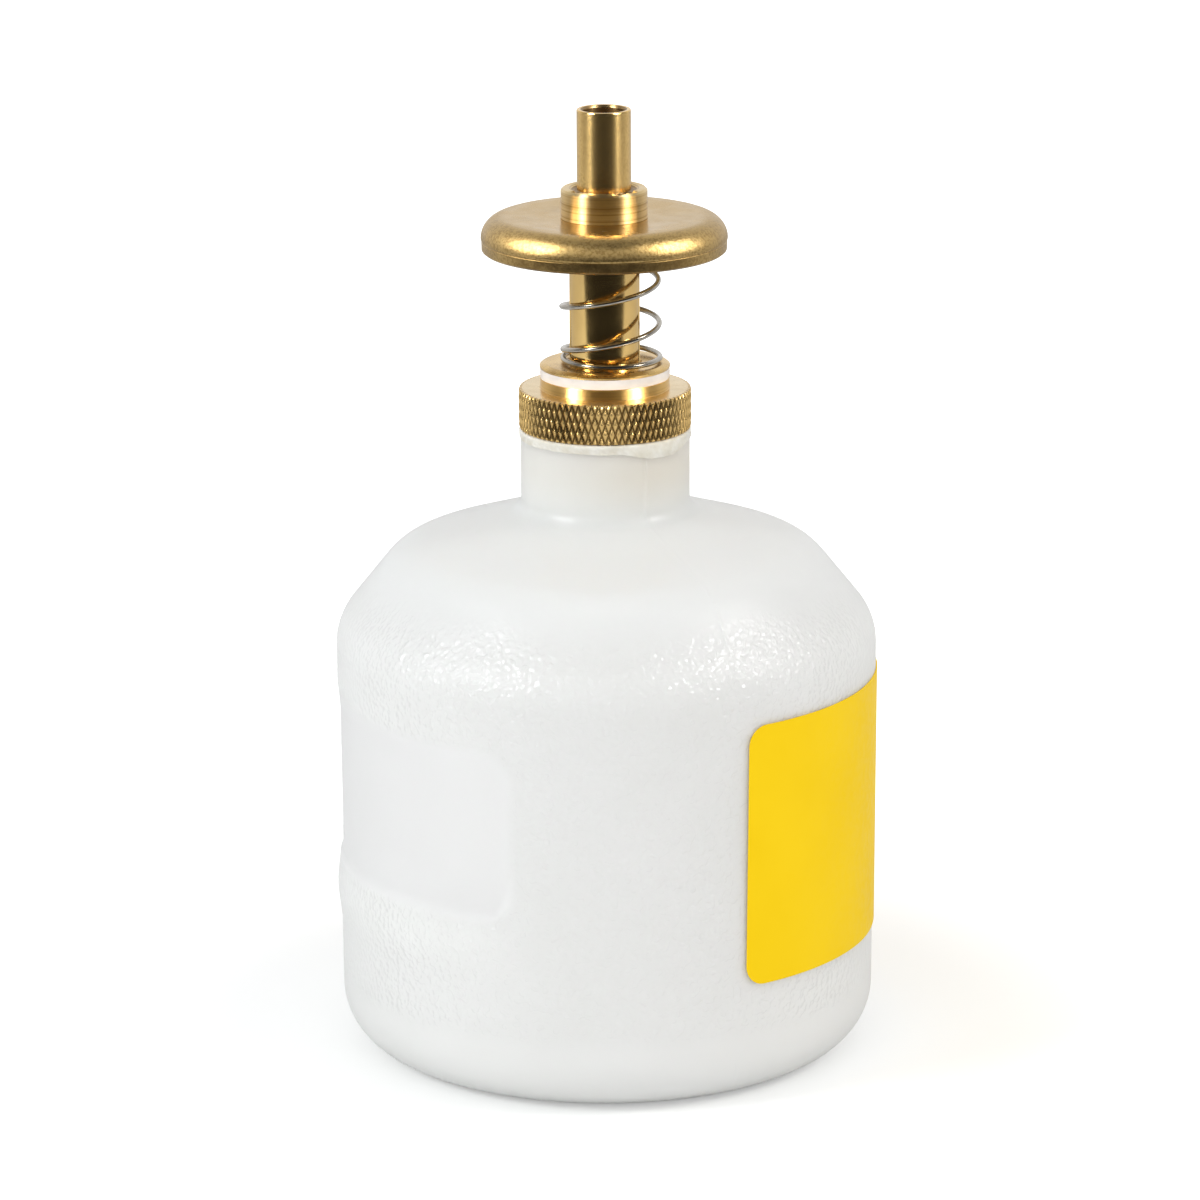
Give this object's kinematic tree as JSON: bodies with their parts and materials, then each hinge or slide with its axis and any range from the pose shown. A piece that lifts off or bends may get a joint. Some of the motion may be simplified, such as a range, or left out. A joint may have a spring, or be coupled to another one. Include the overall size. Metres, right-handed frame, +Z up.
{
  "type": "dispensing can",
  "caption": "Squat round plastic bottle with a sprung brass push valve: held upside down, pressing its finger disc lets liquid out of the nozzle.",
  "frame": {"origin": "centre of the base, on the surface that the can stands on", "axes": "+Z up along the neck and the valve, -Y towards the front of the picture, +X to the right"},
  "size_m": [0.0803, 0.0803, 0.1411],
  "materials": {
    "polyethylene": "natural translucent polyethylene, stippled wall, smooth shoulder and neck",
    "label_film": "plain yellow satin film",
    "ptfe_tape": "soft white thread tape",
    "white_gasket": "matt white gasket",
    "turned_brass": "bright turned brass",
    "satin_brass": "satin cast brass",
    "spring_steel": "bright drawn stainless wire",
    "nitrile": "black rubber"
  },
  "bodies": {
    "can": {"bottle": "polyethylene", "label": "label_film"},
    "tape": {"thread_tape": "ptfe_tape"},
    "cap": {"knurled_cap": "turned_brass", "cap_gasket": "white_gasket", "valve_body": "turned_brass", "stem_o_ring": "nitrile", "return_spring": "spring_steel"},
    "plunger": {"stem": "turned_brass", "nozzle_tube": "turned_brass", "finger_disc": "satin_brass", "collar": "turned_brass", "valve_seal": "nitrile", "seal_retainer": "turned_brass", "retainer_screw": "turned_brass"}
  },
  "joints": [
    {"name": "cap_rise", "type": "slide", "parent": "can", "child": "tape", "axis": [0, 0, 1], "range_m": [0, 0.0096]},
    {"name": "cap_turn", "type": "hinge", "parent": "tape", "child": "cap", "pos_m": [0, 0, 0.0939], "axis": [0, 0, 1], "range_deg": [0, 1080]},
    {"name": "plunger_press", "type": "slide", "parent": "cap", "child": "plunger", "axis": [0, 0, -1], "range_m": [0, 0.012], "stiffness_N_per_m": 540, "springref_m": -0.004, "deforming": ["return_spring"]}
  ],
  "couplings": [
    {"joint": "cap_rise", "follows": "cap_turn", "m_per_rad": 0.00050532}
  ]
}
